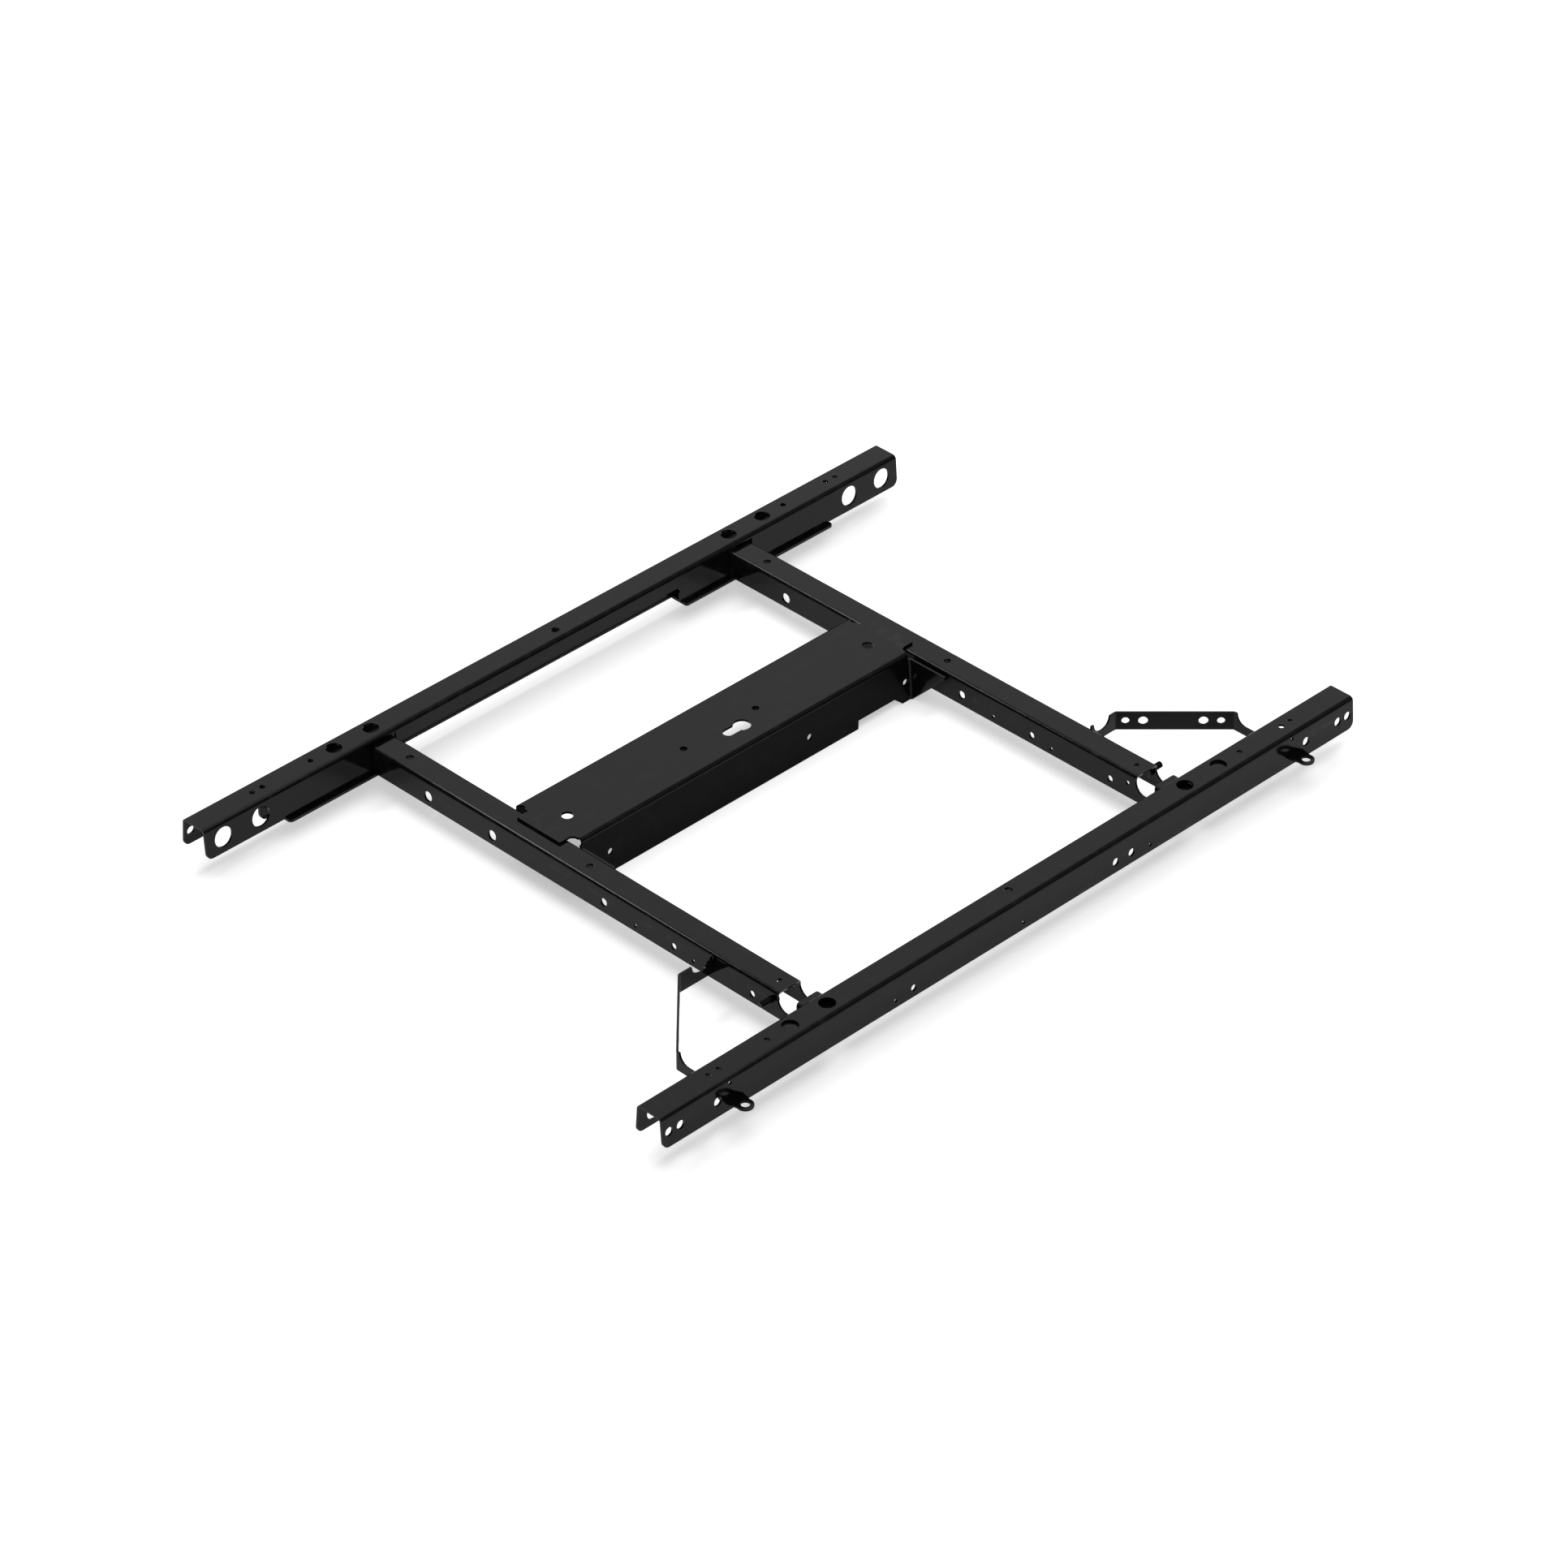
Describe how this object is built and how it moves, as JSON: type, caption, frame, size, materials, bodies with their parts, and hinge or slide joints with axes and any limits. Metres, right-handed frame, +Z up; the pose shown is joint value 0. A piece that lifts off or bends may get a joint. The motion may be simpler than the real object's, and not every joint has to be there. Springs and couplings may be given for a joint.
{
  "type": "fifth wheel hitch base frame",
  "caption": "Gloss black welded under-frame: two long channel rails, two cross members, a centre beam and corner straps.",
  "frame": {"origin": "under the middle of the frame, level with the bottom edge of the centre beam", "axes": "+X along the rails towards the back, +Y towards the far rail, +Z up"},
  "size_m": [1.216, 0.8788, 0.0742],
  "materials": {
    "gloss_black_paint": "high gloss black powder coat",
    "weld_bead_paint": "gloss black powder coat over a weld bead"
  },
  "bodies": {
    "root": {"rail_far": "gloss_black_paint", "rail_near": "gloss_black_paint", "ledge_angle_far": "gloss_black_paint", "centre_beam": "gloss_black_paint", "cross_member_front": "gloss_black_paint", "cross_member_back": "gloss_black_paint", "corner_strap_front": "gloss_black_paint", "corner_strap_back": "gloss_black_paint", "eyelet_tab_front": "gloss_black_paint", "eyelet_tab_back": "gloss_black_paint", "outer_stud_front": "gloss_black_paint", "outer_stud_back": "gloss_black_paint", "beam_nut_front": "gloss_black_paint", "beam_nut_back": "gloss_black_paint", "rail_doubler_front": "gloss_black_paint", "rail_doubler_back": "gloss_black_paint", "weld_strap_cross_member_front": "weld_bead_paint", "weld_strap_rail_front": "weld_bead_paint", "weld_near_rail_cross_member_front": "weld_bead_paint", "weld_far_rail_cross_member_front": "weld_bead_paint", "weld_beam_tongue_front": "weld_bead_paint", "weld_eyelet_tab_front": "weld_bead_paint", "weld_strap_cross_member_back": "weld_bead_paint", "weld_strap_rail_back": "weld_bead_paint", "weld_near_rail_cross_member_back": "weld_bead_paint", "weld_far_rail_cross_member_back": "weld_bead_paint", "weld_beam_tongue_back": "weld_bead_paint", "weld_eyelet_tab_back": "weld_bead_paint", "weld_ledge_angle_1": "weld_bead_paint", "weld_ledge_angle_2": "weld_bead_paint", "weld_ledge_angle_3": "weld_bead_paint", "weld_ledge_angle_4": "weld_bead_paint"}
  },
  "joints": []
}
